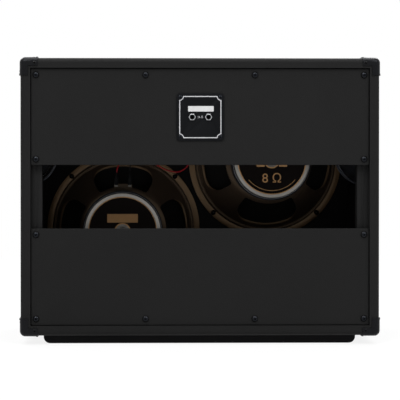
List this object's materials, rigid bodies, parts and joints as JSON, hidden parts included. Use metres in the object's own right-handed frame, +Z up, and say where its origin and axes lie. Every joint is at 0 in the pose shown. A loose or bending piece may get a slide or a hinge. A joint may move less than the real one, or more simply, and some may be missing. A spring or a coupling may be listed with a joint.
{
  "type": "guitar speaker cabinet",
  "caption": "Open-back guitar speaker cabinet: vinyl-covered box with diagonal drivers behind a cloth grille, split rear panels, jack plate, corner protectors, skids and side handles.",
  "frame": {"origin": "on the floor under the middle of the box", "axes": "+Z up, -Y out of the grille, +Y out of the open back, +X along the width"},
  "size_m": [0.6684, 0.2954, 0.5292],
  "materials": {
    "box_board": "matte",
    "covered_board": "satin",
    "vinyl": "satin",
    "black_screw": "satin",
    "skid_black": "satin",
    "moulded_black": "satin",
    "grille_wood": "matte",
    "grille_weave": "matte",
    "hook_pad": "matte",
    "plate_black": "satin",
    "jack_moulding": "satin",
    "jack_chrome": "polished",
    "red_wire": "satin",
    "black_wire": "satin",
    "basket_paint": "satin",
    "gasket_board": "matte",
    "surround_cloth": "matte",
    "cone_paper": "matte",
    "spider_cloth": "matte",
    "coil_copper": "satin",
    "plated_steel": "satin",
    "ferrite": "matte",
    "vent_mesh": "satin",
    "strip_board": "matte"
  },
  "bodies": {
    "cabinet": {"top_panel": "box_board", "bottom_panel": "box_board", "left_side_panel": "box_board", "right_side_panel": "box_board", "vinyl_covering": "vinyl", "baffle_board": "box_board", "rear_side_cleats": "box_board", "rear_cross_cleats": "box_board", "upper_rear_panel": "covered_board", "lower_rear_panel": "covered_board", "rear_panel_screws": "black_screw", "cup_washers": "black_screw", "front_skid": "skid_black", "rear_skid": "skid_black", "skid_screws": "black_screw", "rear_corner_protectors": "moulded_black", "front_corner_protectors": "moulded_black", "corner_screws": "black_screw", "right_handle_dish": "moulded_black", "left_handle_dish": "moulded_black", "handle_grips": "moulded_black", "handle_screws": "black_screw", "grille_frame": "grille_wood", "grille_cloth": "grille_weave", "grille_pads": "hook_pad", "jack_plate": "plate_black", "jack_plate_screws": "black_screw", "input_jack": "jack_moulding", "link_jack": "jack_moulding", "jack_nuts": "jack_chrome", "lower_red_lead": "red_wire", "lower_black_lead": "black_wire", "upper_red_lead": "red_wire", "upper_black_lead": "black_wire", "speaker_bolts": "black_screw", "speaker_tee_nuts": "plated_steel", "lower_basket": "basket_paint", "lower_gasket": "gasket_board", "lower_top_plate": "plated_steel", "lower_magnet": "ferrite", "lower_back_plate": "plated_steel", "lower_vent_screen": "vent_mesh", "lower_terminal_strip": "strip_board", "upper_basket": "basket_paint", "upper_gasket": "gasket_board", "upper_top_plate": "plated_steel", "upper_magnet": "ferrite", "upper_back_plate": "plated_steel", "upper_vent_screen": "vent_mesh", "upper_terminal_strip": "strip_board"},
    "lower_cone_unit": {"lower_cone": "cone_paper", "lower_dust_cap": "cone_paper", "lower_voice_coil": "coil_copper", "lower_surround": "surround_cloth", "lower_spider": "spider_cloth"},
    "upper_cone_unit": {"upper_cone": "cone_paper", "upper_dust_cap": "cone_paper", "upper_voice_coil": "coil_copper", "upper_surround": "surround_cloth", "upper_spider": "spider_cloth"}
  },
  "joints": [
    {"name": "lower_cone_travel", "type": "slide", "parent": "cabinet", "child": "lower_cone_unit", "axis": [0, 1, 0], "range_m": [-0.003, 0.003], "stiffness_N_per_m": 6500, "deforming": ["lower_surround", "lower_spider"]},
    {"name": "upper_cone_travel", "type": "slide", "parent": "cabinet", "child": "upper_cone_unit", "axis": [0, 1, 0], "range_m": [-0.003, 0.003], "stiffness_N_per_m": 6500, "deforming": ["upper_surround", "upper_spider"]}
  ]
}
